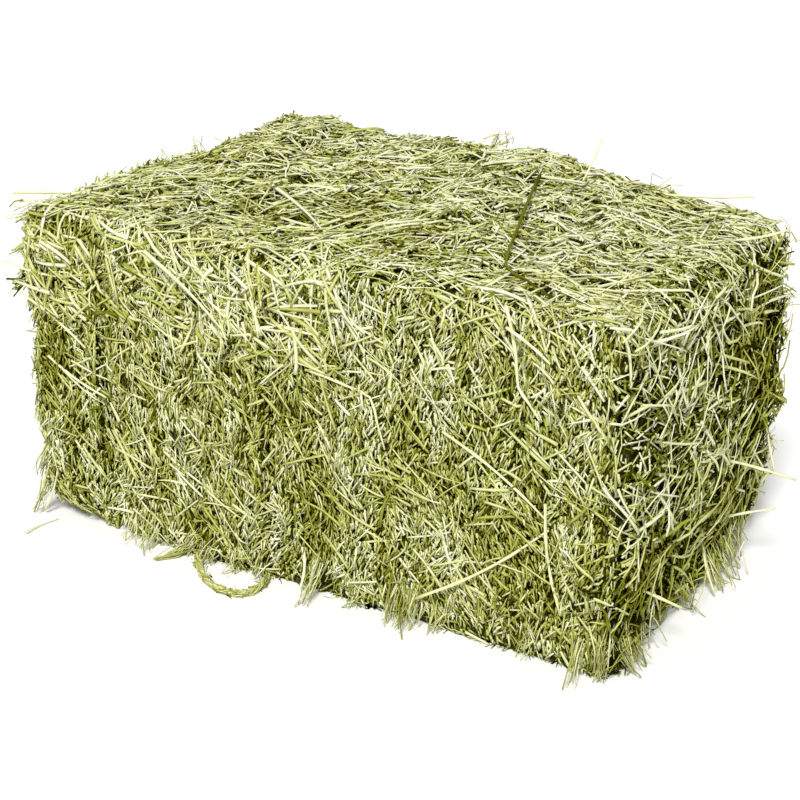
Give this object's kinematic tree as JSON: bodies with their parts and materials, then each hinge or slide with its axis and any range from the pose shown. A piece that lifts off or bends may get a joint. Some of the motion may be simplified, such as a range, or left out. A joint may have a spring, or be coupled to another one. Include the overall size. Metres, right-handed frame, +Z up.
{
  "type": "square hay bale",
  "caption": "Small square hay bale: pressed flakes of pale green hay, knife-trimmed front, two baling twines and loose stalks standing out all over.",
  "frame": {"origin": "on the ground, under the middle of the whole object's box, loose stalks included", "axes": "+X along the bale's length, -Y the knife-trimmed side, +Z up"},
  "size_m": [0.928, 0.5578, 0.4751],
  "materials": {
    "pressed_hay": "matte",
    "loose_hay": "matte",
    "twine": "matte"
  },
  "bodies": {
    "root": {"back_stem_left": "loose_hay", "back_stem_mid": "loose_hay", "back_stem_right": "loose_hay", "bottom_wisp": "loose_hay", "flake_1": "pressed_hay", "flake_2": "pressed_hay", "flake_3": "pressed_hay", "flake_4": "pressed_hay", "flake_5": "pressed_hay", "flake_6": "pressed_hay", "flake_7": "pressed_hay", "flake_8": "pressed_hay", "flake_9": "pressed_hay", "floor_blade": "loose_hay", "front_blade_draped_left": "loose_hay", "front_blade_draped_mid": "loose_hay", "front_stem_corner": "loose_hay", "front_stem_crossing": "loose_hay", "front_stem_kinked": "loose_hay", "front_stem_left_foot": "loose_hay", "front_stem_left_high": "loose_hay", "front_stem_left_low": "loose_hay", "front_stem_left_mid": "loose_hay", "front_stem_lower": "loose_hay", "front_stem_pale_long": "loose_hay", "front_stem_pale_short": "loose_hay", "front_stem_pointed": "loose_hay", "left_stem_high": "loose_hay", "left_stem_low": "loose_hay", "left_stem_mid": "loose_hay", "right_blade_hanging": "loose_hay", "right_stem_back": "loose_hay", "right_stem_foot": "loose_hay", "right_stem_hanging": "loose_hay", "right_stem_high": "loose_hay", "right_stem_low": "loose_hay", "right_stem_upper": "loose_hay", "right_tuft_low": "loose_hay", "top_blade_cross": "loose_hay", "top_blade_long": "loose_hay", "top_stem_back_left": "loose_hay", "top_stem_back_mid": "loose_hay", "top_stem_back_right": "loose_hay", "top_stem_forked": "loose_hay", "top_stem_jointed": "loose_hay", "top_stem_left_long": "loose_hay", "top_stem_left_short": "loose_hay", "top_stem_right_back": "loose_hay", "top_stem_right_front": "loose_hay", "top_stem_upright": "loose_hay", "twine_back": "twine", "twine_front": "twine"}
  },
  "joints": []
}
